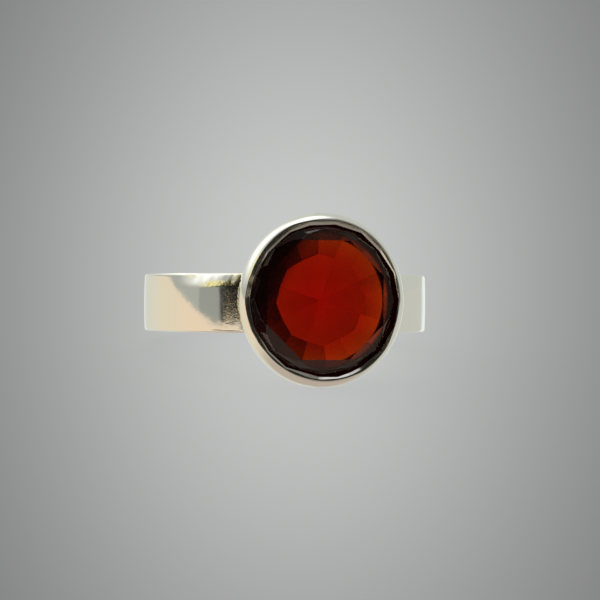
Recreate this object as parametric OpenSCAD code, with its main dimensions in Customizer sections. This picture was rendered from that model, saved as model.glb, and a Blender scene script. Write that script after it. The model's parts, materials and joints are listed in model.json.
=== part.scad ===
// Adjustable finger ring: a flat silver band, open at the back, soldered to an open-backed
// bezel that holds one round faceted stone. It lies on its side, as it rests by itself: the
// wide bezel touches the surface in front, and the two ends of the band touch it behind.

/* [Band] */
// Inside diameter, where the finger goes
finger_d = 18; // [16:0.5:21]
// Width of the band along the finger
band_w = 4; // [3.4:0.1:4.6]
// Thickness of the band
band_t = 1.2; // [1:0.1:1.5]
// Rounding of the band's long edges
band_edge = 0.25; // [0.15:0.05:0.35]
// Opening at the back, by which the ring is adjusted
back_gap = 2.2; // [1.6:0.2:3]
// Rounding of the four corners at the band's ends
end_corner = 0.9; // [0.5:0.1:1.2]

/* [Bezel] */
// Widest diameter of the bezel, across its shoulder
bezel_d = 11.3; // [11.2:0.1:11.5]
// Height of the bezel's crest above the finger
bezel_rise = 3.1; // [3:0.1:3.4]
// Radius of the burnished shoulder
shoulder_r = 1.1; // [1:0.05:1.2]
// Narrowing of the wall towards the finger, in degrees
wall_taper = 15; // [12:1:16]
// Diameter of the open back behind the stone
back_d = 8; // [7.4:0.2:8]
// How far the handmade bezel sits above the middle of the band
bezel_lift = 0.2; // [0:0.05:0.3]

/* [Stone] */
// Diameter of the stone at its girdle
stone_d = 10.2; // [10:0.1:10.2]
// Width of the eight-sided table, across its flats
table_w = 7.7; // [7.4:0.1:7.9]
// Slope of the eight kite facets of the crown, in degrees
kite_slope = 35; // [32:1:36]
// Slope of the steep facets around the pavilion's edge, in degrees
pavilion_slope = 34; // [32:1:36]

/* [Hidden] */
$fn = 96;
SILVER = [0.84, 0.83, 0.8];
GARNET = [0.45, 0.06, 0.02];

// The ring's own axes: its centre is the origin, the finger runs along Z, and the stone
// faces -Y. A height is counted from the finger's axis towards the stone.
finger_r = finger_d / 2;
band_r = finger_r + band_t;
crest_h = finger_r + bezel_rise;

// The wall of the bezel runs up, widening, until it runs into the round of the shoulder, which
// ends at the crest with its own slope. The wall keeps just inside of the line that would touch
// the round, so that the two cross.
crest_slope = 36;
wall_inset = 0.02;
shoulder_in = bezel_d / 2 - shoulder_r;
shoulder_h = crest_h - shoulder_r * cos(crest_slope);
crest_r = shoulder_in + shoulder_r * sin(crest_slope);
wall_top_r = shoulder_in + shoulder_r * cos(wall_taper) - wall_inset;
wall_top_h = shoulder_h - shoulder_r * sin(wall_taper);
shoulder_foot_h = wall_top_h - shoulder_r / 2;
wall_base_h = finger_r - 1.4;
wall_base_r = wall_top_r - (wall_top_h - wall_base_h) * tan(wall_taper);

// The lip slopes down from the crest and covers the stone's edge. It was pushed over in
// flats, so its opening has many short sides that lie a little in or out.
lip_slope = 10;
lip_cover = 0.17;
lip_r = stone_d / 2 - lip_cover;
lip_flats = 16;
lip_wave = 0.05;
lip_waves = 5;

// Heights in the stone, whose table stands just proud of the crest
table_rise = 0.15;
facet_step = 45;
seat_gap = 0.04;
girdle_t = 0.3;
girdle_r = stone_d / 2;
girdle_chord_r = girdle_r * cos(facet_step / 4);
kite_r = table_w / 2 / cos(facet_step / 2) + 0.03;
table_h = crest_h + table_rise;
girdle_top_h = table_h - (girdle_r - kite_r) * tan(kite_slope);
girdle_low_h = girdle_top_h - girdle_t;
culet_h = finger_r + 0.1;

// The steep edge of the pavilion ends where its eight shallow main facets begin. The cutter
// turned the pavilion a little against the crown.
pavilion_turn = 4;
main_r = 3;
main_h = girdle_low_h - (girdle_r - main_r) * cos(facet_step / 4) * tan(pavilion_slope);
main_slope = atan((main_h - culet_h) / main_r);

// A tier is a ring of like facets: their slope, how many, the first one's azimuth, and the
// radius and height of a point on its middle line. The pavilion's tiers are written for the
// stone turned upside down.
SLOPE = 0;
COUNT = 1;
FIRST = 2;
R = 3;
H = 4;
star_slope = 18;
upper_slope = 40;
STARS = [star_slope, 8, 0, table_w / 2, table_h];
KITES = [kite_slope, 8, facet_step / 2, kite_r, table_h];
UPPER_EDGE = [upper_slope, 16, facet_step / 4, girdle_chord_r, girdle_top_h];
LOWER_EDGE = [pavilion_slope, 16, facet_step / 4 + pavilion_turn, girdle_chord_r, -girdle_low_h];
MAINS = [main_slope, 8, pavilion_turn, 0, -culet_h];

// How the ring lies: it leans on the lower shoulder in front, and behind on the rounded
// lower edge of the band's two ends
end_x = back_gap / 2 + end_corner;
end_z = band_w / 2 - end_corner;
lean_back_y = sqrt(pow(band_r - band_edge, 2) - pow(end_x, 2));
lean_back_z = band_edge - band_w / 2;
lean_front_z = bezel_lift - shoulder_in;
lean_run = lean_back_y + shoulder_h;
lean_drop = lean_back_z - lean_front_z;
lean_length = sqrt(pow(lean_run, 2) + pow(lean_drop, 2));
lean = atan(lean_drop / lean_run) + asin((shoulder_r - band_edge) / lean_length);
floor_z = lean_back_z * cos(lean) - lean_back_y * sin(lean) - band_edge;

// The nearest and farthest points of the leaning ring, the latter on the round of an end
front_y = lean_front_z * sin(lean) - shoulder_h * cos(lean) - shoulder_r;
back_y = max([for (a = [0 : 90])
    sqrt(pow(band_r, 2) - pow(end_x - end_corner * cos(a), 2)) * cos(lean)
    + min(end_z + end_corner * sin(a), band_w / 2 - band_edge) * sin(lean)]);

// A length beyond every surface of the ring, for what cuts
beyond = 4 * finger_d;

// Puts the ring from its own axes into the pose in which it rests, centred over the origin
module at_rest() {
    translate([0, -(front_y + back_y) / 2, -floor_z]) rotate([-lean, 0, 0]) children();
}

// Turns +Z into the stone's direction, so that a height is a height there
module along_setting() {
    translate([0, 0, bezel_lift]) rotate([90, 0, 0]) children();
}

// Cross-section of the band: a flat strip with its four edges rounded
module band_section() {
    flat_w = band_w - 2 * band_edge;
    flat_t = band_t - 2 * band_edge;
    translate([finger_r + band_edge, -band_w / 2]) square([flat_t, band_w]);
    translate([finger_r, -flat_w / 2]) square([band_t, flat_w]);
    for (r = [finger_r + band_edge, band_r - band_edge])
        for (z = [-flat_w / 2, flat_w / 2])
            translate([r, z]) circle(band_edge);
}

// What stays of the band beside the gap, seen from behind: an end with rounded corners
module band_end() {
    translate([back_gap / 2, -end_z]) square([2 * end_corner, 2 * end_z]);
    for (z = [-end_z, end_z])
        translate([end_x, z]) circle(end_corner);
}

// What is taken out at the back: the gap, and the four corners of the ends
module back_opening() {
    rotate([-90, 0, 0]) linear_extrude(beyond) difference() {
        square([2 * end_x, 2 * band_w], center = true);
        band_end();
        mirror([1, 0]) band_end();
    }
}

module band() {
    difference() {
        rotate_extrude() band_section();
        back_opening();
    }
}

// Height of the lip's slope, which rises outwards to the crest
function lip_top(r) = crest_h - (crest_r - r) * tan(lip_slope);

// Half section of the bezel before it is hollowed: a tapered wall, a burnished shoulder,
// and a lip that slopes in from the crest
module bezel_section() {
    polygon([
        [0, wall_base_h],
        [wall_base_r, wall_base_h],
        [wall_top_r, wall_top_h],
        [shoulder_in, shoulder_h],
        [shoulder_in, lip_top(shoulder_in)],
        [0, lip_top(0)],
    ]);
    intersection() {
        translate([shoulder_in, shoulder_h]) circle(shoulder_r);
        polygon([
            [shoulder_in, shoulder_foot_h],
            [bezel_d, shoulder_foot_h],
            [bezel_d, lip_top(bezel_d)],
            [shoulder_in, lip_top(shoulder_in)],
        ]);
    }
}

// The opening that the lip leaves over the stone
module lip_opening() {
    step = 360 / lip_flats;
    polygon([for (i = [0 : lip_flats - 1])
        let (r = lip_r + lip_wave * sin(lip_waves * i * step))
        [r * cos(i * step), r * sin(i * step)]]);
}

// Cuts one tier of facets from its children, each moved outwards by grow. A cutter lies on
// its facet's plane and is wide enough to meet its neighbours at the rim.
module facet_tier(tier, grow) {
    slope = tier[SLOPE];
    r = tier[R] + grow * sin(slope);
    h = tier[H] + grow * cos(slope);
    step = 360 / tier[COUNT];
    cutter_w = 2 * (girdle_r + 2 * grow + 0.2) * tan(step / 2);
    difference() {
        children();
        for (i = [0 : tier[COUNT] - 1])
            rotate([0, 0, tier[FIRST] + i * step])
                translate([r, 0, h]) rotate([0, slope, 0])
                    translate([-girdle_r, -cutter_w / 2, 0])
                        cube([2 * girdle_r, cutter_w, girdle_r]);
    }
}

module upside_down() {
    mirror([0, 0, 1]) children();
}

// The cut stone with its table up. A grow above zero makes the room that its seat leaves.
module cut_stone(grow = 0) {
    facet_tier(STARS, grow) facet_tier(KITES, grow) facet_tier(UPPER_EDGE, grow)
        upside_down() facet_tier(MAINS, grow) facet_tier(LOWER_EDGE, grow)
            upside_down() translate([0, 0, culet_h - grow])
                cylinder(h = table_h - culet_h + 2 * grow, r = girdle_r + grow);
}

// Everything that is hollow in the bezel: the room for the stone, the lip's opening above
// it and the open back below it
module bezel_hollow() {
    cut_stone(seat_gap);
    translate([0, 0, girdle_low_h]) linear_extrude(bezel_rise) lip_opening();
    cylinder(h = girdle_low_h, d = back_d);
}

module band_and_bezel() {
    color(SILVER) difference() {
        union() {
            band();
            along_setting() rotate_extrude() bezel_section();
        }
        along_setting() bezel_hollow();
        cylinder(h = beyond, r = finger_r, center = true);
    }
}

module stone() {
    color(GARNET) along_setting() cut_stone();
}

at_rest() band_and_bezel();
at_rest() stone();
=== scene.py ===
"""An adjustable ring: a flat silver band, open at the back, with a round faceted garnet in a
plain bezel. The band, the bezel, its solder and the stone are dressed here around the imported
solids, and a studio is set up around them. Lengths are in metres."""

import json
import math

import bmesh
import bpy
from bpy.props import FloatProperty, FloatVectorProperty, PointerProperty
from mathutils import Matrix, Vector, noise


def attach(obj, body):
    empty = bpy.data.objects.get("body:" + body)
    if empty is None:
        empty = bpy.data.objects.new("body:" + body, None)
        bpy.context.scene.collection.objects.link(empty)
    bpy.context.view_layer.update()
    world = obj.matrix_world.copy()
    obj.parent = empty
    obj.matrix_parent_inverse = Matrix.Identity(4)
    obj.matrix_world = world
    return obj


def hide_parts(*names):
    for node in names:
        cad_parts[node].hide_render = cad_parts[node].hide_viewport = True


bl_info = {
    "name": "Adjustable ring",
    "version": (1, 0, 0),
    "blender": (4, 5, 0),
    "location": "3D View > Sidebar > Ring",
    "description": "Makes a bezel-set silver ring and the studio that it lies in",
    "category": "Add Mesh",
}

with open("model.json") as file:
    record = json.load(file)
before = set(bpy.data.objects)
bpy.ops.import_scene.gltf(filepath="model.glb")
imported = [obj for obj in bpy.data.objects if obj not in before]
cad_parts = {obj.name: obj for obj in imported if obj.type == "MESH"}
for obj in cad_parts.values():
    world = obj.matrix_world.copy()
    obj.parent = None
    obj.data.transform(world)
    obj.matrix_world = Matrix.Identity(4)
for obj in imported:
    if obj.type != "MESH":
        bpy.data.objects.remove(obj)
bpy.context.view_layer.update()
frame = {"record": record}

MM = 0.001
FINGER = frame["record"]["mounts"][0]
FINGER_R = FINGER["dims"]["r_mm"] * MM

# The ring's own axes: its centre is the origin, the finger runs along Z, the stone faces -Y
AXIS = Vector(FINGER["axis"]).normalized()
CENTRE = Vector(FINGER["pos_m"])
RING = Matrix((Vector((1, 0, 0)), AXIS.cross(Vector((1, 0, 0))), AXIS)).transposed().to_4x4()
RING.translation = CENTRE

# The setting's axes: Z runs from the finger to the stone, and Y is up the finger
SETTING = Matrix.Rotation(math.radians(90), 4, "X")


class BandSizes(bpy.types.PropertyGroup):
    """Sizes of the flat band"""
    width: FloatProperty(
        name="Width", description="Width of the band along the finger",
        default=4 * MM, unit="LENGTH", precision=5)
    thickness: FloatProperty(
        name="Thickness", description="Thickness of the band",
        default=1.2 * MM, unit="LENGTH", precision=5)
    edge: FloatProperty(
        name="Edge", description="How deep the long edges are rounded",
        default=0.13 * MM, unit="LENGTH", precision=5)
    filed_edge: FloatProperty(
        name="Filed edge", description="Width of the edge that was filed down beside the bezel",
        default=1 * MM, unit="LENGTH", precision=5)
    edge_reach: FloatProperty(
        name="Edge reach", description="How far in the rounding of the long edges starts",
        default=0.18 * MM, unit="LENGTH", precision=5)
    crown: FloatProperty(
        name="Crown", description="How far the outside falls from its middle to its sides",
        default=0.046 * MM, unit="LENGTH", precision=5)
    gap: FloatProperty(
        name="Gap", description="Opening at the back, by which the ring is adjusted",
        default=2.2 * MM, unit="LENGTH", precision=5)
    end_corner: FloatProperty(
        name="End corner", description="Rounding of the corners at the band's ends",
        default=0.9 * MM, unit="LENGTH", precision=5)
    wave: FloatProperty(
        name="Wave", description="How uneven hand finishing left the surface",
        default=0.006 * MM, unit="LENGTH", precision=6)


class BezelSizes(bpy.types.PropertyGroup):
    """Sizes of the bezel"""
    radius: FloatProperty(
        name="Radius", description="Radius of the bezel across its shoulder",
        default=5.65 * MM, unit="LENGTH", precision=5)
    squeeze: FloatProperty(
        name="Squeeze", description="How much narrower the bezel is than its nominal radius",
        default=0.971)
    stretch: FloatProperty(
        name="Stretch", description="How much taller the bezel is than its nominal radius",
        default=1.008)
    shift: FloatProperty(
        name="Shift", description="How far the oval's middle sits above that of the stone",
        default=-0.015 * MM, unit="LENGTH", precision=6)
    rise: FloatProperty(
        name="Rise", description="Height of the crest above the finger",
        default=3.1 * MM, unit="LENGTH", precision=5)
    shoulder: FloatProperty(
        name="Shoulder", description="Radius of the burnished shoulder",
        default=1.1 * MM, unit="LENGTH", precision=5)
    shoulder_end: FloatProperty(
        name="Shoulder end", description="Slope at which the shoulder reaches the crest",
        default=math.radians(36), subtype="ANGLE")
    crest: FloatProperty(
        name="Crest", description="Radius of the sharp crest between shoulder and lip",
        default=0.08 * MM, unit="LENGTH", precision=5)
    taper: FloatProperty(
        name="Taper", description="Narrowing of the wall towards the finger",
        default=math.radians(15), subtype="ANGLE")
    back: FloatProperty(
        name="Open back", description="Radius of the opening behind the stone",
        default=4 * MM, unit="LENGTH", precision=5)
    lift: FloatProperty(
        name="Lift", description="How far the setting sits above the middle of the band",
        default=0.2 * MM, unit="LENGTH", precision=5)
    lip_edge: FloatProperty(
        name="Lip edge", description="How steeply the edge of the lip falls to the stone",
        default=math.radians(32), subtype="ANGLE")
    solder: FloatProperty(
        name="Solder", description="Reach of the solder between band and bezel",
        default=0.24 * MM, unit="LENGTH", precision=5)


class StoneSizes(bpy.types.PropertyGroup):
    """Sizes and colour of the cut stone"""
    radius: FloatProperty(
        name="Radius", description="Radius of the stone at its girdle",
        default=5.1 * MM, unit="LENGTH", precision=5)
    table: FloatProperty(
        name="Table", description="Half the width of the table across its flats",
        default=3.85 * MM, unit="LENGTH", precision=5)
    body: FloatVectorProperty(
        name="Body", description="Colour that light takes on inside the stone",
        subtype="COLOR", size=3, default=(0.95, 0.545, 0.1))
    depth: FloatProperty(
        name="Depth of colour", description="How strongly the stone takes up light, per metre",
        default=3550)


class StudioSettings(bpy.types.PropertyGroup):
    """The camera and the lights"""
    azimuth: FloatProperty(
        name="Azimuth", description="How far to the left of the stone the camera stands",
        default=math.radians(12.5), subtype="ANGLE")
    distance: FloatProperty(
        name="Distance", description="From the camera to the ring's centre",
        default=0.1, unit="LENGTH")
    lens: FloatProperty(
        name="Lens", description="Focal length of the camera in millimetres",
        default=82.2)
    roll: FloatProperty(
        name="Roll", description="Turn of the camera about its own axis",
        default=math.radians(0.35), subtype="ANGLE")
    light: FloatProperty(
        name="Light", description="Strength of the light from all round",
        default=1.0)


class Formula:
    """A value in a node tree. Sums and products with it add the Math nodes that work it out."""

    def __init__(self, tree, socket):
        self.tree = tree
        self.socket = socket

    def run(self, operation, *others):
        """What a Math node makes of this value and others"""
        node = self.tree.nodes.new("ShaderNodeMath")
        node.operation = operation
        for slot, value in zip(node.inputs, (self, *others)):
            feed(self.tree, slot, value)
        return Formula(self.tree, node.outputs[0])

    def __add__(self, other):
        return self.run("ADD", other)

    def __sub__(self, other):
        return self.run("SUBTRACT", other)

    def __mul__(self, other):
        return self.run("MULTIPLY", other)

    def __truediv__(self, other):
        return self.run("DIVIDE", other)

    def __rsub__(self, other):
        return self.run("MULTIPLY_ADD", -1, other)

    def __rtruediv__(self, other):
        return self.run("POWER", -1) * other

    def __neg__(self):
        return self.run("MULTIPLY", -1)

    __radd__ = __add__
    __rmul__ = __mul__

    def step(self, start, end):
        """0 below start and 1 above end, smoothly between them"""
        node = self.tree.nodes.new("ShaderNodeMapRange")
        node.interpolation_type = "SMOOTHSTEP"
        for name, value in (("Value", self), ("From Min", start), ("From Max", end)):
            feed(self.tree, node.inputs[name], value)
        return Formula(self.tree, node.outputs["Result"])


def feed(tree, slot, value):
    """Gives a socket a number, a colour, another socket or a formula"""
    if isinstance(value, Formula):
        tree.links.new(value.socket, slot)
    elif isinstance(value, bpy.types.NodeSocket):
        tree.links.new(value, slot)
    else:
        slot.default_value = value


def add_node(tree, kind, inputs=None, **settings):
    """A new node with its settings, and its inputs by name or number"""
    node = tree.nodes.new(kind)
    for name, value in settings.items():
        setattr(node, name, value)
    for name, value in (inputs or {}).items():
        feed(tree, node.inputs[name], value)
    return node


def combine(tree, x, y, z):
    return add_node(tree, "ShaderNodeCombineXYZ", {"X": x, "Y": y, "Z": z}).outputs[0]


def separate(tree, vector):
    node = add_node(tree, "ShaderNodeSeparateXYZ", {0: vector})
    return [Formula(tree, output) for output in node.outputs]


def dot(tree, vector, other):
    """The dot product of two vectors"""
    node = add_node(tree, "ShaderNodeVectorMath", {0: vector, 1: other}, operation="DOT_PRODUCT")
    return Formula(tree, node.outputs["Value"])


def mix(tree, factor, first, second):
    """A colour between two others"""
    node = tree.nodes.new("ShaderNodeMix")
    node.data_type = "RGBA"
    feed(tree, node.inputs[0], factor)
    feed(tree, node.inputs[6], first)
    feed(tree, node.inputs[7], second)
    return node.outputs[2]


def grain(tree, where, scale, detail, roughness=0.5):
    """Noise between 0 and 1. The scale is the number of features in a metre."""
    node = add_node(
        tree, "ShaderNodeTexNoise",
        {"Vector": where, "Scale": scale, "Detail": detail, "Roughness": roughness})
    return Formula(tree, node.outputs[0])


def attribute(tree, name):
    """What the mesh stores under this name"""
    node = add_node(tree, "ShaderNodeAttribute", attribute_name=name)
    return Formula(tree, node.outputs["Fac"])


def grey(level, green=0.0, blue=0.0):
    """A colour of one level, tinted by what is added to its green and its blue"""
    return (level, level + green, level + blue, 1)


def new_material(name):
    """An empty material, its shader and its Object coordinates"""
    material = bpy.data.materials.new(name)
    material.use_nodes = True
    tree = material.node_tree
    shader = tree.nodes["Principled BSDF"]
    place = tree.nodes.new("ShaderNodeTexCoord").outputs["Object"]
    return material, tree, shader, place


def add_relief(tree, shader, height, strength):
    """Makes the surface look as uneven as a height in metres says"""
    bump = add_node(tree, "ShaderNodeBump", {"Height": height, "Distance": 1.0, "Strength": strength})
    feed(tree, shader.inputs["Normal"], bump.outputs[0])


# Three sets of scratches that cross each other: how far each is turned, and its features in a
# metre along the three axes
SCRATCHES = ((0.6, (9000, 500, 900)), (-0.9, (700, 9000, 600)), (0.2, (500, 900, 9000)))


def silver_material():
    """Polished silver: a little warm, waved by hand work and finely scratched. The mesh's
    patina says where polish never reached, and its marks where tools left it less smooth."""
    material, tree, shader, place = new_material("polished silver")
    patina = attribute(tree, "patina")
    marks = attribute(tree, "marks")
    clouds = grain(tree, place, 500, 3)
    spots = grain(tree, place, 2600, 2, 0.6)
    fine = grain(tree, place, 6400, 4, 0.7)

    # Stains turn the silver yellow and then black, in fine spots where it was heated
    heated = patina.step(0.1, 0.3)
    tarnish = (clouds - 0.5) * 0.25 + (spots - 0.5) * 0.35 + (fine - 0.5) * heated * 1.2 + patina
    stain = tarnish.step(0.12, 0.9)
    bright = (0.93, 0.915, 0.875, 1)
    yellowed = (0.8, 0.69, 0.3, 1)
    oxide = (0.035, 0.033, 0.028, 1)
    colour = mix(tree, stain.step(0, 0.5), bright, yellowed)
    colour = mix(tree, stain.step(0.25, 0.95), colour, oxide)
    feed(tree, shader.inputs["Base Color"], colour)
    feed(tree, shader.inputs["Roughness"], 0.05 + clouds * 0.03 + marks * 0.07 + stain * 0.3)
    shader.inputs["Metallic"].default_value = 1

    lines = []
    for turn, scale in SCRATCHES:
        turned = add_node(
            tree, "ShaderNodeMapping", {"Vector": place, "Rotation": (turn, turn, turn), "Scale": scale})
        lines.append(grain(tree, turned.outputs[0], 1, 1).step(0.66, 0.74))
    scratches = (lines[0] + lines[1] + lines[2]) * 0.02
    ripples = grain(tree, place, 3200, 1) * 0.09
    pits = spots.step(0.62, 0.75) * patina
    grit = fine.step(0.4, 0.75) * heated * 0.17
    relief = 0.02 * MM
    add_relief(tree, shader, (clouds * 0.9 + ripples - scratches - pits + grit) * relief, 0.5)
    return material


def garnet_material(stone):
    """Garnet: polished and orange-red all through, with painted shade that darkens it to the right, above
    and most of all at the upper left, and with the faint polishing marks of its facets"""
    material, tree, shader, place = new_material("faceted garnet")
    wear = grain(tree, place, 1800, 3)
    behind = attribute(tree, "behind")
    x, _, z = separate(tree, place)
    # Painted shade: the stone's colour darkens to the right (less so in a band across the middle), above,
    # and most of all at the upper left
    middle = z.step(2.9 * MM, 4.3 * MM) * (1 - z.step(5.5 * MM, 7.5 * MM))
    right = x.step(-0.5 * MM, 4 * MM) * (1 - middle * 0.6)
    above = z.step(4 * MM, 8.5 * MM)
    painted_shade_upper_left = ((z - 5.7 * MM) * 0.55 - x * 0.88).step(2.5 * MM, 3.8 * MM)
    colour = mix(tree, wear, (1, 0.8, 0.7, 1), (0.97, 0.72, 0.6, 1))
    colour = mix(tree, above, colour, (0.76, 0.59, 0.5, 1))
    colour = mix(tree, right, colour, (0.5, 0.4, 0.31, 1))
    colour = mix(tree, painted_shade_upper_left, colour, (0.14, 0.09, 0.07, 1))
    feed(tree, shader.inputs["Base Color"], colour)
    feed(tree, shader.inputs["Roughness"], wear.step(0.35, 0.9) * 0.03 + behind * 0.26)
    shader.inputs["IOR"].default_value = 1.74
    shader.inputs["Transmission Weight"].default_value = 1
    relief = 0.0012 * MM
    add_relief(tree, shader, wear * relief, 0.4)
    body = add_node(
        tree, "ShaderNodeVolumeAbsorption",
        {"Color": (*stone.body, 1), "Density": stone.depth})
    tree.links.new(body.outputs[0], tree.nodes["Material Output"].inputs["Volume"])
    return material


def material_named(name, make, *values):
    """The material of this name, which is made when it is first asked for"""
    return bpy.data.materials.get(name) or make(*values)


def add_object(name, mesh):
    piece = bpy.data.objects.new(name, mesh)
    bpy.context.scene.collection.objects.link(piece)
    return piece


def finish_piece(piece, slot, *nodes):
    """The finished piece rides on the ring's only body and stands for the CAD nodes"""
    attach(piece, "root")
    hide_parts(*nodes)


def apply_nodes(piece):
    """Turns what the piece's node tree makes into its plain mesh"""
    graph = bpy.context.evaluated_depsgraph_get()
    mesh = bpy.data.meshes.new_from_object(piece.evaluated_get(graph))
    piece.modifiers.clear()
    piece.data = mesh


def mesh_of(shape, name):
    """The mesh of a finished bmesh, which is freed"""
    mesh = bpy.data.meshes.new(name)
    shape.to_mesh(mesh)
    shape.free()
    return mesh


# What the band's node tree takes, apart from its material
BAND_SIZES = (
    "Finger Radius", "Width", "Thickness", "Edge", "Filed Edge", "Edge Reach", "Crown", "Gap",
    "End Corner", "Arm Length", "Seat Radius", "Seat Lift", "Wave",
)

# The band starts inside of the bezel's wall, so far outside of its open back
BAND_START = 0.25 * MM

# The filed edge: its depth as a part of its width, the power by which it deepens, how unevenly
# wide it is, and where on the way from the gap to the bezel it begins and is full
FILED_DEPTH = 0.4
FILED_POWER = 1.6
FILED_WOBBLE = 0.25
FILED_FROM = 0.75
FILED_FULL = 0.86


def arm_points(tree, size):
    """Where the points of a box from -1 to 1 go: round the finger, from the gap to the bezel,
    with the long edges and the corners of the end rounded"""
    u, v, w = separate(tree, tree.nodes.new("GeometryNodeInputPosition").outputs[0])
    half_w = size["Width"] * 0.5
    half_t = size["Thickness"] * 0.5
    corner = size["End Corner"]

    # The points lie closer together towards the edges
    quarter = math.radians(90)
    across = (v * quarter).run("SINE") * half_w
    from_end = (1 - (u * quarter).run("SINE")) * 0.5 * size["Arm Length"]

    # A square corner becomes round when each square around it becomes an arc
    into_end = (corner - from_end).run("MAXIMUM", 0)
    into_side = (across.run("ABSOLUTE") - half_w + corner).run("MAXIMUM", 0)
    reach = into_end.run("MAXIMUM", into_side)
    length = (into_end * into_end + into_side * into_side).run("SQRT").run("MAXIMUM", 1e-9)
    shrink = reach / length
    from_end = from_end + into_end - into_end * shrink
    across = across.run("SIGN") * (across.run("ABSOLUTE") - into_side + into_side * shrink)

    # The sides fall away in a quarter of an ellipse. Beside the bezel the upper one was filed.
    inwards = ((reach - corner) / size["Edge Reach"] + 1).run("MAXIMUM", 0)
    fall = size["Edge"] * (1 - (1 - inwards * inwards).run("MAXIMUM", 0).run("SQRT"))
    crown = size["Crown"] * (across / half_w).run("POWER", 2)
    near = (from_end / size["Arm Length"]).step(FILED_FROM, FILED_FULL)
    wobble = (grain(tree, combine(tree, from_end, 0, 0), 1500, 2) - 0.5) * FILED_WOBBLE
    into_edge = ((across - half_w) / size["Filed Edge"] + 1 + wobble).run("MAXIMUM", 0)
    filed = into_edge.run("POWER", FILED_POWER) * near * size["Filed Edge"] * FILED_DEPTH
    r = size["Finger Radius"] + half_t + w * (half_t - fall) - (crown + filed) * w.run("MAXIMUM", 0)

    # The arm starts at the circle of its seat, which lies higher than the band's middle
    above_seat = across - size["Seat Lift"]
    seat_x = (size["Seat Radius"] * size["Seat Radius"] - above_seat * above_seat).run("SQRT")
    start = (seat_x / r).run("ARCSINE")
    end = math.pi - (size["Gap"] * 0.5 / r).run("ARCSINE")
    angle = end - from_end / size["Arm Length"] * (end - start)
    return combine(tree, r * angle.run("SINE"), -(r * angle.run("COSINE")), across)


def heat_stain(tree, size, place):
    """How dark heat left the outside of the band to the left of the bezel: a little beside it,
    more in a streak along the filed edge, and most in the upper corner"""
    x, y, z = separate(tree, place)
    from_seat = (x * x + z * z).run("SQRT") - size["Seat Radius"]
    beside = (1 - from_seat.step(1.5 * MM, 2.2 * MM)) * z.step(-1.4 * MM, -1.2 * MM) * 0.3
    streak = (1 - from_seat.step(3 * MM, 3.9 * MM)) * z.step(0.8 * MM, 1.1 * MM)
    streak = streak * (1 - z.step(1.3 * MM, 1.6 * MM)) * 0.36
    upper_corner = (1 - from_seat.step(1.15 * MM, 1.45 * MM)) * z.step(0.6 * MM, 1.4 * MM) * 0.4
    stain = beside.run("MAXIMUM", streak).run("MAXIMUM", upper_corner)
    left = 1 - x.step(-2 * MM, 2 * MM)
    in_front = 1 - y.step(-6 * MM, -3 * MM)
    half_t = size["Thickness"] * 0.5
    off_finger = (x * x + y * y).run("SQRT") - size["Finger Radius"]
    return stain * left * in_front * off_finger.step(half_t, half_t * 1.5)


def band_tree():
    """The band: a box of many faces, wrapped round the finger from the bezel to the gap, and
    the same again on the other side"""
    tree = bpy.data.node_groups.new("Band", "GeometryNodeTree")
    tree.interface.new_socket(name="Band", in_out="OUTPUT", socket_type="NodeSocketGeometry")
    for name in BAND_SIZES:
        tree.interface.new_socket(name=name, in_out="INPUT", socket_type="NodeSocketFloat")
    tree.interface.new_socket(name="Material", in_out="INPUT", socket_type="NodeSocketMaterial")
    given = tree.nodes.new("NodeGroupInput")
    size = {name: Formula(tree, given.outputs[name]) for name in BAND_SIZES}

    box = add_node(
        tree, "GeometryNodeMeshCube",
        {"Size": (2, 2, 2), "Vertices X": 161, "Vertices Y": 41, "Vertices Z": 5})
    arm = add_node(
        tree, "GeometryNodeSetPosition",
        {"Geometry": box.outputs["Mesh"], "Position": arm_points(tree, size)})
    other = add_node(tree, "GeometryNodeTransform", {"Geometry": arm.outputs[0], "Scale": (-1, 1, 1)})
    other = add_node(tree, "GeometryNodeFlipFaces", {"Mesh": other.outputs[0]})
    both = tree.nodes.new("GeometryNodeJoinGeometry")
    tree.links.new(other.outputs[0], both.inputs[0])
    tree.links.new(arm.outputs[0], both.inputs[0])

    # Hand finishing leaves long waves, and heat leaves stains beside the bezel
    place = tree.nodes.new("GeometryNodeInputPosition").outputs[0]
    normal = tree.nodes.new("GeometryNodeInputNormal").outputs[0]
    wave = (grain(tree, place, 260, 1) - 0.5) * 2 * size["Wave"]
    push = add_node(tree, "ShaderNodeVectorMath", {0: normal, "Scale": wave}, operation="SCALE")
    waved = add_node(
        tree, "GeometryNodeSetPosition", {"Geometry": both.outputs[0], "Offset": push.outputs[0]})
    patina = add_node(
        tree, "GeometryNodeStoreNamedAttribute",
        {"Geometry": waved.outputs[0], "Name": "patina", "Value": heat_stain(tree, size, place)},
        domain="POINT")

    smooth = add_node(tree, "GeometryNodeSetShadeSmooth", {"Geometry": patina.outputs[0]})
    plain = add_node(tree, "GeometryNodeRealizeInstances", {"Geometry": smooth.outputs[0]})
    dressed = add_node(
        tree, "GeometryNodeSetMaterial",
        {"Geometry": plain.outputs[0], "Material": given.outputs["Material"]})
    result = tree.nodes.new("NodeGroupOutput")
    tree.links.new(dressed.outputs[0], result.inputs[0])
    return tree


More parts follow.
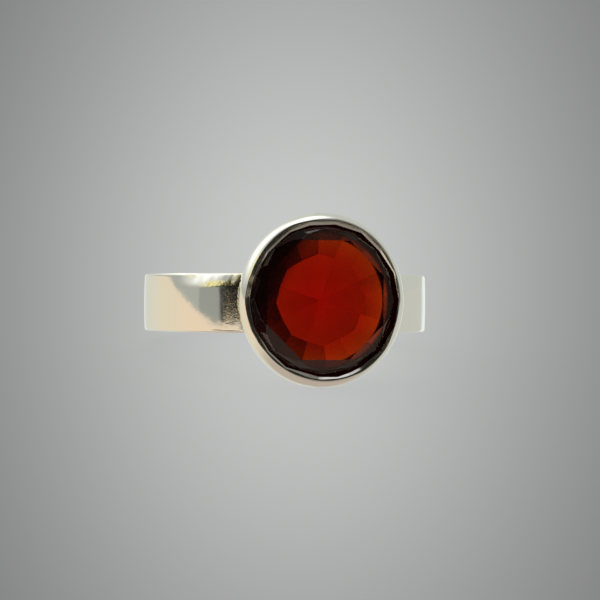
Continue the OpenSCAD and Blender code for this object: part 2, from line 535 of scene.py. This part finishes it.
class MakeBand(bpy.types.Operator):
    """Makes the band, which follows the finger from the bezel to the gap on both sides"""
    bl_idname = "ring.make_band"
    bl_label = "Band"

    def execute(self, context):
        band = context.scene.ring_band
        bezel = context.scene.ring_bezel
        seat_r = bezel.back + BAND_START
        middle_r = FINGER_R + band.thickness / 2
        arm = math.pi - math.asin(band.gap / 2 / middle_r) - math.asin(seat_r / middle_r)
        values = {
            "Finger Radius": FINGER_R, "Width": band.width, "Thickness": band.thickness,
            "Edge": band.edge, "Filed Edge": band.filed_edge, "Edge Reach": band.edge_reach,
            "Crown": band.crown, "Gap": band.gap, "End Corner": band.end_corner,
            "Arm Length": arm * middle_r, "Seat Radius": seat_r, "Seat Lift": bezel.lift,
            "Wave": band.wave, "Material": material_named("polished silver", silver_material),
        }
        piece = add_object("band", bpy.data.meshes.new("band"))
        wrap = piece.modifiers.new("Band", "NODES")
        wrap.node_group = band_tree()
        for item in wrap.node_group.interface.items_tree:
            if item.in_out == "INPUT":
                wrap[item.identifier] = values[item.name]
        apply_nodes(piece)
        piece.data.transform(RING)
        finish_piece(piece, "silver", "band_and_bezel")
        return {"FINISHED"}


def cut_facet(shape, slope, azimuth, r, h, side):
    """Cuts off what is outside of a facet's plane, above the stone's middle or, where side is
    -1, below it"""
    out = Vector((math.cos(azimuth), math.sin(azimuth), 0))
    everything = shape.verts[:] + shape.edges[:] + shape.faces[:]
    cut = bmesh.ops.bisect_plane(
        shape, geom=everything, dist=1e-8, clear_outer=True,
        plane_co=out * r + Vector((0, 0, h * side)),
        plane_no=out * math.sin(slope) + Vector((0, 0, math.cos(slope) * side)))
    rim = [edge for edge in cut["geom_cut"] if isinstance(edge, bmesh.types.BMEdge)]
    bmesh.ops.edgeloop_fill(shape, edges=rim)


class Stone:
    """The planes of the cut stone, in the setting's axes. A tier is a ring of like facets: its
    slope, how many, the first one's azimuth, and a radius and height on its middle line. The
    pavilion's tiers are written for the stone turned upside down."""
    # How far the table stands above the crest and the culet above the finger, the girdle's
    # height, how far the kites start outside of the table, and where the main facets begin
    TABLE_RISE = 0.15 * MM
    CULET_RISE = 0.1 * MM
    GIRDLE = 0.3 * MM
    KITE_MARGIN = 0.03 * MM
    MAIN_R = 3 * MM

    # Slopes, the turn from kite to kite, and how far the cutter turned the pavilion, in degrees
    STAR_SLOPE = 18
    KITE_SLOPE = 35
    UPPER_SLOPE = 40
    LOWER_SLOPE = 34
    STEP = 45
    PAVILION_TURN = 4

    def __init__(self, sizes, rise):
        half_step = math.radians(self.STEP / 2)
        quarter_step = math.radians(self.STEP / 4)
        self.radius = sizes.radius
        self.top = FINGER_R + rise + self.TABLE_RISE
        self.culet = FINGER_R + self.CULET_RISE
        kite_r = sizes.table / math.cos(half_step) + self.KITE_MARGIN
        girdle_top = self.top - (sizes.radius - kite_r) * math.tan(math.radians(self.KITE_SLOPE))
        self.girdle_low = girdle_top - self.GIRDLE
        chord_r = sizes.radius * math.cos(quarter_step)
        edge_run = (sizes.radius - self.MAIN_R) * math.cos(quarter_step)
        main_h = self.girdle_low - edge_run * math.tan(math.radians(self.LOWER_SLOPE))
        main_slope = math.degrees(math.atan((main_h - self.culet) / self.MAIN_R))
        self.crown = [
            (self.STAR_SLOPE, 8, 0, sizes.table, self.top),
            (self.KITE_SLOPE, 8, self.STEP / 2, kite_r, self.top),
            (self.UPPER_SLOPE, 16, self.STEP / 4, chord_r, girdle_top),
        ]
        self.pavilion = [
            (self.LOWER_SLOPE, 16, self.STEP / 4 + self.PAVILION_TURN, chord_r, -self.girdle_low),
            (main_slope, 8, self.PAVILION_TURN, 0, -self.culet),
        ]

    def height(self, tiers, r, azimuth):
        """Height of the lowest plane of these tiers over a point"""
        return min(
            h - (r * math.cos(azimuth - math.radians(first + i * 360 / count)) - tier_r)
            * math.tan(math.radians(slope))
            for slope, count, first, tier_r, h in tiers
            for i in range(count))

    def above(self, r, azimuth):
        """Height of the stone's upper surface"""
        return min(self.top, self.height(self.crown, r, azimuth))

    def below(self, r, azimuth):
        """Height of the stone's lower surface"""
        return max(self.culet, -self.height(self.pavilion, r, azimuth))

    def mesh(self):
        """A disc from which the planes are cut one by one"""
        shape = bmesh.new()
        depth = self.top - self.culet
        bmesh.ops.create_cone(
            shape, cap_ends=True, segments=96, radius1=self.radius, radius2=self.radius, depth=depth,
            matrix=Matrix.Translation((0, 0, self.culet + depth / 2)))
        for tiers, side in ((self.crown, 1), (self.pavilion, -1)):
            for slope, count, first, r, h in tiers:
                for i in range(count):
                    azimuth = math.radians(first + i * 360 / count)
                    cut_facet(shape, math.radians(slope), azimuth, r, h, side)
        bmesh.ops.remove_doubles(shape, verts=shape.verts, dist=0.001 * MM)
        bmesh.ops.recalc_face_normals(shape, faces=shape.faces)
        mesh = mesh_of(shape, "stone")

        # The facets below are less smooth, the shallow ones around the culet least
        behind = mesh.attributes.new("behind", "FLOAT", "FACE")
        for face in mesh.polygons:
            if face.normal.z > -0.1:
                rough = 0
            elif face.normal.z > -0.9:
                rough = 1
            else:
                rough = 1.5
            behind.data[face.index].value = rough
        return mesh


def from_setting(lift):
    """Turns the setting's axes into those of the frame"""
    return RING @ Matrix.Translation((0, 0, lift)) @ SETTING


class MakeStone(bpy.types.Operator):
    """Makes the faceted stone, with the worn edges that catch the light"""
    bl_idname = "ring.make_stone"
    bl_label = "Stone"

    def execute(self, context):
        sizes = context.scene.ring_stone
        bezel = context.scene.ring_bezel
        mesh = Stone(sizes, bezel.rise).mesh()
        mesh.transform(from_setting(bezel.lift))
        mesh.materials.append(material_named("faceted garnet", garnet_material, sizes))
        piece = add_object("cut_stone", mesh)
        worn = piece.modifiers.new("Worn edges", "BEVEL")
        worn.width = 0.012 * MM
        worn.segments = 2
        worn.limit_method = "ANGLE"
        worn.angle_limit = math.radians(4)
        finish_piece(piece, "garnet", "stone")
        return {"FINISHED"}


def loft(name, rings, round_trip):
    """A smooth mesh, with the marks of tools all over it, through rings of as many points
    each, which are a place and how dark it is there. The last ring joins the first on a round
    trip, or else both ends are closed."""
    shape = bmesh.new()
    patina = shape.verts.layers.float.new("patina")
    marks = shape.verts.layers.float.new("marks")
    made = []
    for ring in rings:
        verts = []
        for place, dark in ring:
            vert = shape.verts.new(place)
            vert[patina] = dark
            vert[marks] = 1
            verts.append(vert)
        made.append(verts)
    count = len(made[0])
    for a, b in zip(made, made[1:] + made[:1] if round_trip else made[1:]):
        for i in range(count):
            j = (i + 1) % count
            shape.faces.new((a[i], b[i], b[j], a[j]))
    if not round_trip:
        shape.faces.new(made[0])
        shape.faces.new(made[-1])
    for face in shape.faces:
        face.smooth = True
    bmesh.ops.recalc_face_normals(shape, faces=shape.faces)
    return mesh_of(shape, name)


def add_silver(name, mesh, lift):
    """A silver piece from its mesh in the setting's axes"""
    mesh.transform(from_setting(lift))
    mesh.materials.append(material_named("polished silver", silver_material))
    finish_piece(add_object(name, mesh), "silver", "band_and_bezel")


# Where the burnisher left the lip: the azimuths of the corners of its opening in degrees, their
# radii in millimetres, how steeply the shoulder rises to the crest and the lip falls from it, and
# how wide the lip's edge is in millimetres
LIP_CORNERS = [
    (1, 4.99, 30, 6, 0.06), (21, 4.98, 33, 6, 0.1), (41, 4.88, 38, 6, 0.15), (61, 4.99, 38, 8, 0.12),
    (82, 4.91, 36, 7, 0.16), (102, 4.88, 37, 6, 0.2), (118, 4.90, 42, 5, 0.12), (127, 4.82, 41, 4, 0.12),
    (142, 4.83, 40, 3, 0.16), (161, 4.77, 42, 3, 0.18), (169, 4.88, 46, 4, 0.1), (181, 4.87, 51, 4, 0.14),
    (199, 4.95, 47, 5, 0.1), (208, 4.88, 42, 6, 0.12), (221, 4.94, 38, 8, 0.14), (239, 5.01, 36, 8, 0.1),
    (258, 4.83, 34, 8, 0.24), (266, 4.93, 35, 8, 0.18), (280, 5.01, 36, 8, 0.12), (290, 4.95, 38, 8, 0.2),
    (300, 4.97, 42, 8, 0.16), (320, 5.02, 40, 7, 0.1), (341, 5.01, 30, 6, 0.05),
]

# How far in and how far down the points on the lip's rounded edge lie, as parts of its width and
# of its fall
LIP_EDGE = ((0.07, 0.04), (0.2, 0.17), (0.5, 0.49), (0.85, 0.86), (1, 1.03))


def lip_at(azimuth):
    """Radius of the lip, whose edge runs straight from corner to corner, the two slopes and
    the width of the edge"""
    turn = math.degrees(azimuth) % 360
    corners = [(a + lap, *rest) for lap in (-360, 0, 360) for a, *rest in LIP_CORNERS]
    for before, after in zip(corners, corners[1:]):
        if before[0] <= turn <= after[0]:
            break
    start, end = (
        Vector((r * math.cos(math.radians(a)), r * math.sin(math.radians(a))))
        for a, r, *_ in (before, after))
    along = end - start
    ray = Vector((math.cos(azimuth), math.sin(azimuth)))
    r = (start.x * along.y - start.y * along.x) / (ray.x * along.y - ray.y * along.x)
    t = (turn - before[0]) / (after[0] - before[0])
    t = t * t * (3 - 2 * t)
    up, down, edge = (before[i] + (after[i] - before[i]) * t for i in (2, 3, 4))
    return r * MM, math.radians(up), math.radians(down), edge * MM


class Bezel:
    """The bezel's surface, in the setting's axes, as sections round it, from the foot outside
    over the crest and the lip, down behind the stone and back to the foot. A point of a section
    is a radius, a height, how much it takes part in the oval, and how dark it is."""
    COLUMNS = 320

    # How far the foot stands off the finger and its edges are rounded, the air over the stone,
    # beside it and under it, and the least width of the slope between crest and lip
    FOOT_GAP = 0.02 * MM
    SOFT = 0.06 * MM
    OVER_STONE = 0.02 * MM
    BESIDE_STONE = 0.03 * MM
    UNDER_STONE = 0.05 * MM
    LEAST_SLOPE = 0.03 * MM

    def __init__(self, sizes, stone):
        self.sizes = sizes
        self.stone = stone
        self.shoulder_r = sizes.radius - sizes.shoulder
        self.shoulder_h = FINGER_R + sizes.rise - sizes.shoulder * math.cos(sizes.shoulder_end)
        self.wall_r = self.shoulder_r + sizes.shoulder * math.cos(sizes.taper)
        self.wall_h = self.shoulder_h - sizes.shoulder * math.sin(sizes.taper)

    def cone(self, h):
        """Nominal radius of the wall at a height"""
        return self.wall_r - (self.wall_h - h) * math.tan(self.sizes.taper)

    def foot_height(self, x):
        return math.sqrt((FINGER_R + self.FOOT_GAP) ** 2 - x * x)

    def foot(self, azimuth):
        """Nominal radius and height of the wall's foot, which stands on the finger"""
        r = self.sizes.back
        for _ in range(8):
            h = self.foot_height(r * math.cos(azimuth) * self.sizes.squeeze)
            r = self.cone(h)
        return r, h

    def wall(self, foot_r, foot_h):
        """Up the wall, whose foot is dark"""
        points = [(foot_r - self.SOFT * 0.3, foot_h + self.SOFT * 0.3, 1, 0.14)]
        for i in range(10):
            h = foot_h + self.SOFT + (self.wall_h - foot_h - self.SOFT) * i / 10
            points.append((self.cone(h), h, 1, 0.16 * (1 - i / 9) ** 2))
        return points

    def shoulder(self, slope, lip_slope):
        """Round the shoulder, and over the sharp crest until the lip's slope begins"""
        sizes = self.sizes
        points = []
        for i in range(17):
            turn = math.radians(90) + sizes.taper + (slope - math.radians(90) - sizes.taper) * i / 16
            points.append((
                self.shoulder_r + sizes.shoulder * math.sin(turn),
                self.shoulder_h + sizes.shoulder * math.cos(turn), 1, 0))
        crest_r = points[-1][0] - sizes.crest * math.sin(slope)
        crest_h = points[-1][1] - sizes.crest * math.cos(slope)
        for i in range(1, 7):
            turn = slope - (lip_slope + slope) * i / 6
            points.append((
                crest_r + sizes.crest * math.sin(turn), crest_h + sizes.crest * math.cos(turn), 1, 0.05))
        return points

    def lip(self, azimuth, start_r, start_h, lip_r, lip_slope, edge):
        """Down the lip's slope and its bright edge, and then in the dark to the stone"""
        rest_h = self.stone.above(lip_r, azimuth) + self.OVER_STONE
        steep = math.tan(self.sizes.lip_edge - math.radians(6) * max(0, math.cos(azimuth)))
        edge_r = min(lip_r + edge, start_r - self.LEAST_SLOPE)
        edge = edge_r - lip_r
        edge_h = start_h - (start_r - edge_r) * math.tan(lip_slope)
        edge_h = max(edge_h, rest_h + edge * steep)
        points = []
        for i in range(1, 7):
            t = i / 6
            points.append((start_r + (edge_r - start_r) * t, start_h + (edge_h - start_h) * t, 0.7, 0.3))
        low_h = edge_h - edge * steep
        for t, drop in LIP_EDGE:
            points.append((edge_r - edge * t, edge_h + (low_h - edge_h) * drop, 0.5, 0))
        points.append((lip_r, (low_h + rest_h) / 2, 0.3, 0.6))
        points.append((lip_r, rest_h - 0.01 * MM, 0.2, 1))
        return points

    def seat(self, azimuth, lip_r):
        """Out over the stone's edge, down its girdle and in below it"""
        stone = self.stone
        side_r = stone.radius + self.BESIDE_STONE
        points = []
        for t in (0.3, 0.7, 1):
            r = lip_r + (side_r - lip_r) * t
            points.append((r, stone.above(min(r, stone.radius), azimuth) + self.OVER_STONE, 0, 1))
        points.append((side_r, stone.girdle_low - self.BESIDE_STONE, 0, 1))
        for r in (4.8 * MM, 4.4 * MM, self.sizes.back + 0.1 * MM):
            points.append((r, stone.below(r, azimuth) - self.UNDER_STONE, 0, 1))
        return points

    def back(self, azimuth, foot_r):
        """Down the open back, and out along the finger to the foot"""
        back_r = self.sizes.back
        seat_h = self.stone.below(back_r, azimuth) - 0.12 * MM
        back_h = self.foot_height(back_r * math.cos(azimuth)) + self.SOFT
        points = []
        for i in range(6):
            points.append((back_r, seat_h + (back_h - seat_h) * i / 5, 0, 1 - 0.6 * i / 5))
        for i in range(1, 5):
            t = i / 5
            r = back_r + self.SOFT * 0.3 + (foot_r - self.SOFT - back_r) * t
            points.append((r, self.foot_height(r * math.cos(azimuth)), t, 0.12))
        return points

    def section(self, azimuth):
        foot_r, foot_h = self.foot(azimuth)
        lip_r, slope, lip_slope, edge = lip_at(azimuth)
        points = self.wall(foot_r, foot_h) + self.shoulder(slope, lip_slope)
        start_r, start_h = points[-1][:2]
        points += self.lip(azimuth, start_r, start_h, lip_r, lip_slope, edge)
        return points + self.seat(azimuth, lip_r) + self.back(azimuth, foot_r)

    def place(self, r, h, azimuth, oval=1):
        """A point at a nominal radius, which the oval of the bezel shifts"""
        sizes = self.sizes
        wide = r * (1 + (sizes.squeeze - 1) * oval)
        tall = r * (1 + (sizes.stretch - 1) * oval)
        return Vector((wide * math.cos(azimuth), tall * math.sin(azimuth) + sizes.shift * oval, h))

    def mesh(self):
        rings = []
        for column in range(self.COLUMNS):
            azimuth = math.radians(column * 360 / self.COLUMNS)
            rings.append([
                (self.place(r, h, azimuth, oval), dark) for r, h, oval, dark in self.section(azimuth)])
        return loft("bezel", rings, True)


def bezel_of(scene):
    return Bezel(scene.ring_bezel, Stone(scene.ring_stone, scene.ring_bezel.rise))


class MakeBezel(bpy.types.Operator):
    """Makes the bezel, whose lip is burnished over the stone in short flats"""
    bl_idname = "ring.make_bezel"
    bl_label = "Bezel"

    def execute(self, context):
        add_silver("bezel", bezel_of(context.scene).mesh(), context.scene.ring_bezel.lift)
        return {"FINISHED"}


# How far the solder's back lies inside of the band and the wall, and its ends inside of the
# band's edges
SOLDER_SINK = 0.05 * MM
SOLDER_INSET = 0.02 * MM


def seam_section(band, bezel, side, z):
    """The solder at a height on the band: a fillet from the band's outside to the bezel's wall,
    with its back inside of both. The side is 1 to the right and -1 to the left."""
    sizes = bezel.sizes
    y = z - sizes.lift
    inwards = max(0, (abs(z) - band.width / 2) / band.edge_reach + 1)
    into_edge = max(0, (z - band.width / 2) / band.filed_edge + 1)
    filed = band.filed_edge * FILED_DEPTH * into_edge ** FILED_POWER
    outside = FINGER_R + band.thickness - band.edge * (1 - math.sqrt(1 - inwards ** 2))
    outside -= band.crown * (z * 2 / band.width) ** 2 + filed

    # The corner lies on the band's outside and on the wall
    x = sizes.back * side
    for _ in range(12):
        h = math.sqrt(outside ** 2 - x * x)
        x = math.sqrt(bezel.cone(h) ** 2 - (y / sizes.stretch) ** 2) * side * sizes.squeeze
    corner = Vector((x, y, h))
    azimuth = math.atan2(y / sizes.stretch, x / sizes.squeeze)

    uneven = noise.noise((z * 1900, side * 3, 0)) + 0.6 * noise.noise((z * 5200, side * 7, 4))
    reach = sizes.solder * (1 + 0.45 * uneven)
    turn = math.atan2(x, h) + side * reach / outside
    off_band = Vector((math.sin(turn), 0, math.cos(turn)))
    on_band = off_band * outside + Vector((0, y, 0))
    high = h + reach * math.cos(sizes.taper)
    off_wall = Vector((math.cos(azimuth), math.sin(azimuth), 0))
    on_wall = bezel.place(bezel.cone(high), high, azimuth)
    points = [
        (corner - off_band * SOLDER_SINK - off_wall * SOLDER_SINK, 0.5),
        (on_band - off_band * SOLDER_SINK, 0.5),
    ]
    for i in range(9):
        t = i / 8
        point = on_band * (1 - t) ** 2 + corner * 2 * t * (1 - t) + on_wall * t * t
        points.append((point, 0.3 + 0.1 * t))
    points.append((on_wall - off_wall * SOLDER_SINK, 0.6))
    return points


class MakeSolder(bpy.types.Operator):
    """Makes the solder that fills the corners between the band and the bezel's wall"""
    bl_idname = "ring.make_solder"
    bl_label = "Solder"

    def execute(self, context):
        band = context.scene.ring_band
        bezel = bezel_of(context.scene)
        half_w = band.width / 2 - SOLDER_INSET
        for side, name in ((1, "solder_right"), (-1, "solder_left")):
            rings = [seam_section(band, bezel, side, i / 40 * half_w) for i in range(-40, 41)]
            add_silver(name, loft(name, rings, False), bezel.sizes.lift)
        return {"FINISHED"}


class MakeStudio(bpy.types.Operator):
    """Makes the floor, the light from all round and the camera"""
    bl_idname = "ring.make_studio"
    bl_label = "Studio"

    def execute(self, context):
        studio = context.scene.ring_studio
        make_floor(studio)
        make_light(studio)
        make_camera(context, studio)
        return {"FINISHED"}


def floor_mesh():
    """A disc whose rim curves up into a wall"""
    flat, bend, top, columns = 0.13, 0.16, 0.3, 96
    section = [(0.02, 0.0), (0.06, 0.0), (flat, 0.0)]
    for i in range(1, 13):
        turn = math.radians(90 * i / 12)
        section.append((flat + bend * math.sin(turn), bend * (1 - math.cos(turn))))
    section.append((flat + bend, top))
    shape = bmesh.new()
    centre = shape.verts.new((0, 0, 0))
    rings = []
    for r, z in section:
        ring = []
        for column in range(columns):
            azimuth = math.radians(column * 360 / columns)
            ring.append(shape.verts.new((r * math.cos(azimuth), r * math.sin(azimuth), z)))
        rings.append(ring)
    for i in range(columns):
        j = (i + 1) % columns
        shape.faces.new((centre, rings[0][i], rings[0][j]))
        for low, high in zip(rings, rings[1:]):
            shape.faces.new((low[i], high[i], high[j], low[j]))
    for face in shape.faces:
        face.smooth = True
    return mesh_of(shape, "floor")


def floor_material(studio):
    """Pale grey with a light of its own: palest around the ring, as it is seen from where the
    camera is made, and darker away from it, as the photograph's ground is"""
    material, tree, shader, place = new_material("pale floor")
    source, side, up, back = camera_pose(studio)
    ray = add_node(tree, "ShaderNodeVectorMath", {0: place, 1: source}, operation="SUBTRACT").outputs[0]
    half_view = math.tan(math.radians(12.35))
    ahead = dot(tree, ray, -back).run("MAXIMUM", 0.001) * half_view
    sideways = dot(tree, ray, side) / ahead
    upwards = dot(tree, ray, up) / ahead - 0.07
    away = (sideways * sideways * 1.35 + upwards * upwards * 0.62).run("MINIMUM", 6)
    # Painted pool of light: the floor's glow and its grey are brightest round the ring, as the camera
    # sees it, and fade away from there
    level = 1 / (1 + away * 0.68)
    feed(tree, shader.inputs["Base Color"], mix(tree, level, grey(0.0), grey(0.12)))
    feed(tree, shader.inputs["Emission Color"], mix(tree, level, grey(0.0), (1.01, 1.03, 1.025, 1)))
    shader.inputs["Emission Strength"].default_value = 0.512
    shader.inputs["Roughness"].default_value = 0.9
    shader.inputs["Specular IOR Level"].default_value = 0.0
    return material


def make_floor(studio):
    """The floor, which is seen only directly: neither silver nor stone mirrors it"""
    mesh = floor_mesh()
    mesh.materials.append(floor_material(studio))
    floor = add_object("floor", mesh)
    floor.visible_glossy = False
    floor.visible_transmission = False
    floor.visible_diffuse = False
    floor.visible_shadow = False


def make_light(studio):
    """Light from all round: azimuths are counted to the right from the camera, heights from
    the plane of the picture's middle row, both in degrees"""
    world = bpy.data.worlds.new("studio light")
    bpy.context.scene.world = world
    world.use_nodes = True
    tree = world.node_tree
    direction = tree.nodes.new("ShaderNodeTexCoord").outputs["Generated"]
    toward, right, up = camera_axes(studio)

    def height_over(axis):
        return dot(tree, direction, axis).run("ARCSINE") * math.degrees(1)

    azimuth = dot(tree, direction, right).run("ARCTAN2", dot(tree, direction, toward)) * math.degrees(1)
    height = height_over(up)
    horizon = height_over(Vector((0, 0, 1)))

    def panel(start, end, low, high, soft):
        sides = azimuth.step(start - soft, start + soft) * (1 - azimuth.step(end - soft, end + soft))
        return sides * height.step(low - soft, low + soft) * (1 - height.step(high - soft, high + soft))

    def lobe(at_azimuth, at_height, radius, soft):
        a, h = math.radians(at_azimuth), math.radians(at_height)
        aim = (toward * math.cos(a) + right * math.sin(a)) * math.cos(h) + up * math.sin(h)
        angle = dot(tree, direction, aim).run("ARCCOSINE") * math.degrees(1)
        return 1 - angle.step(radius - soft, radius + soft)

    board = azimuth.step(-66, -62) * (1 - azimuth.step(-38, -30)) * (1 - height.step(-4.5, -3.6))
    floor = (1 - horizon.step(-1.3, -0.3)).run("MAXIMUM", board)
    peach = (1 - azimuth.step(-50, -30)) * azimuth.step(-110, -80) * height.step(-40, -25)
    strip = floor * height.step(-15, -11)
    core = lobe(25, 0, 24, 10).run("MAXIMUM", lobe(-20, 16, 34, 12)).run("MAXIMUM", lobe(-46, 26, 13, 4))
    shade = mix(tree, core, (0.105, 0.1, 0.08, 1), grey(0.013))
    glow = lobe(82, 38, 22, 8)
    window = (1 - azimuth.step(-95, -55)) * azimuth.step(-165, -115) * height.step(4, 36)
    lamp = lobe(28, 57, 13, 5)
    gloom = lobe(-46, -26, 9, 3)
    dusk = lobe(-56, 14, 4, 1.5).run("MAXIMUM", lobe(-56, -14, 4.5, 1.5))

    # Each layer covers those before it: the walls, the floor and its parts, what is far below,
    # the dark room around the camera, the floor under it, the lights and the darkest spots
    colour = grey(0.42, green=0.015, blue=-0.03)
    layers = [
        (azimuth.step(85, 110), grey(0.55, green=0.02, blue=-0.03)),
        (1 - azimuth.step(-150, -120), grey(0.6, green=0.02, blue=-0.03)),
        (panel(-72, -53, -10, 25, 1), grey(0.325, green=0.015, blue=-0.02)),
        (floor, (0.78, 0.7, 0.53, 1)),
        (floor * peach, (0.85, 0.69, 0.51, 1)),
        (floor * azimuth.step(-20, 60), (0.6, 0.55, 0.52, 1)),
        (floor * azimuth.step(90, 110), (0.57, 0.585, 0.52, 1)),
        (floor * (1 - azimuth.step(-150, -110)), (0.68, 0.69, 0.6, 1)),
        (strip * azimuth.step(145, 156), (0.84, 0.9, 0.86, 1)),
        (strip * (1 - azimuth.step(-164, -154)), (0.76, 0.78, 0.76, 1)),
        (1 - height.step(-60, -30), (0.5, 0.42, 0.35, 1)),
        (lobe(24, 5, 77, 1.5) * (1 - floor), shade),
        (glow * (1 - floor), (0.2, 0.195, 0.17, 1)),
        (lobe(35, -20, 52, 6) * floor, (0.24, 0.215, 0.18, 1)),
        (lobe(88, -13, 9, 4) * floor, (0.6, 0.55, 0.5, 1)),
        (window, (1.25, 1.25, 1.18, 1)),
        (panel(-72, -54, 13, 40, 4) * 0.85, (0.98, 0.9, 0.48, 1)),
        (height.step(66, 79), (1.3, 1.3, 1.22, 1)),
        (lamp, grey(0.7)),
        (gloom, grey(0.03)),
        (dusk, grey(0.05)),
    ]
    for factor, layer in layers:
        colour = mix(tree, factor, colour, layer)
    background = tree.nodes["Background"]
    feed(tree, background.inputs["Color"], colour)
    background.inputs["Strength"].default_value = studio.light


def camera_axes(studio):
    """From the ring's centre towards the camera, to the picture's right, and up"""
    toward = Vector((-math.sin(studio.azimuth), -math.cos(studio.azimuth), 0))
    up = Vector((0, 0, 1))
    turned = RING.to_3x3()
    return turned @ toward, turned @ up.cross(toward), turned @ up


# Width of the camera's sensor in millimetres and of the picture in pixels, and how many pixels
# the ring's centre is to the left of the picture's middle and below it
SENSOR_W = 36
PICTURE_W = 600
LEFT_BY = 15.2
BELOW_BY = 3


def camera_pose(studio):
    """Place and axes of the camera, which looks past the ring's centre as the photograph does"""
    toward, right, up = camera_axes(studio)
    pixel = SENSOR_W / studio.lens / PICTURE_W * studio.distance
    place = CENTRE + toward * studio.distance
    aim = CENTRE + right * LEFT_BY * pixel + up * BELOW_BY * pixel
    back = (place - aim).normalized()
    side = up.cross(back).normalized()
    return place, side, back.cross(side), back


def make_camera(context, studio):
    """The camera, at the height of the ring's own middle plane"""
    data = bpy.data.cameras.new("camera")
    data.lens = studio.lens
    data.clip_start = 0.005
    data.clip_end = 5
    camera = bpy.data.objects.new("camera", data)
    context.scene.collection.objects.link(camera)
    place, *axes = camera_pose(studio)
    turn = Matrix(axes).transposed() @ Matrix.Rotation(studio.roll, 3, "Z")
    camera.matrix_world = Matrix.Translation(place) @ turn.to_4x4()
    context.scene.camera = camera
    context.scene.view_settings.view_transform = "Standard"


class RingPanel(bpy.types.Panel):
    """Shows the sizes of the ring's pieces, and a button that makes each"""
    bl_idname = "VIEW3D_PT_ring"
    bl_label = "Adjustable ring"
    bl_space_type = "VIEW_3D"
    bl_region_type = "UI"
    bl_category = "Ring"

    def draw(self, context):
        for group, (_, *makers) in SECTIONS.items():
            box = self.layout.box()
            sizes = getattr(context.scene, group)
            for name in sizes.bl_rna.properties.keys():
                if name not in ("rna_type", "name"):
                    box.prop(sizes, name)
            for maker in makers:
                box.operator(maker.bl_idname)


# Each group of settings in the scene, and the operators that it is for
SECTIONS = {
    "ring_band": (BandSizes, MakeBand),
    "ring_bezel": (BezelSizes, MakeBezel, MakeSolder),
    "ring_stone": (StoneSizes, MakeStone),
    "ring_studio": (StudioSettings, MakeStudio),
}
CLASSES = [item for section in SECTIONS.values() for item in section] + [RingPanel]


def register():
    for item in CLASSES:
        bpy.utils.register_class(item)
    for name, (group, *_) in SECTIONS.items():
        setattr(bpy.types.Scene, name, PointerProperty(type=group))


def unregister():
    for name in SECTIONS:
        delattr(bpy.types.Scene, name)
    for item in reversed(CLASSES):
        bpy.utils.unregister_class(item)


def main():
    register()
    bpy.ops.ring.make_band()
    bpy.ops.ring.make_bezel()
    bpy.ops.ring.make_solder()
    bpy.ops.ring.make_stone()
    bpy.ops.ring.make_studio()


if __name__ == "__main__":
    main()
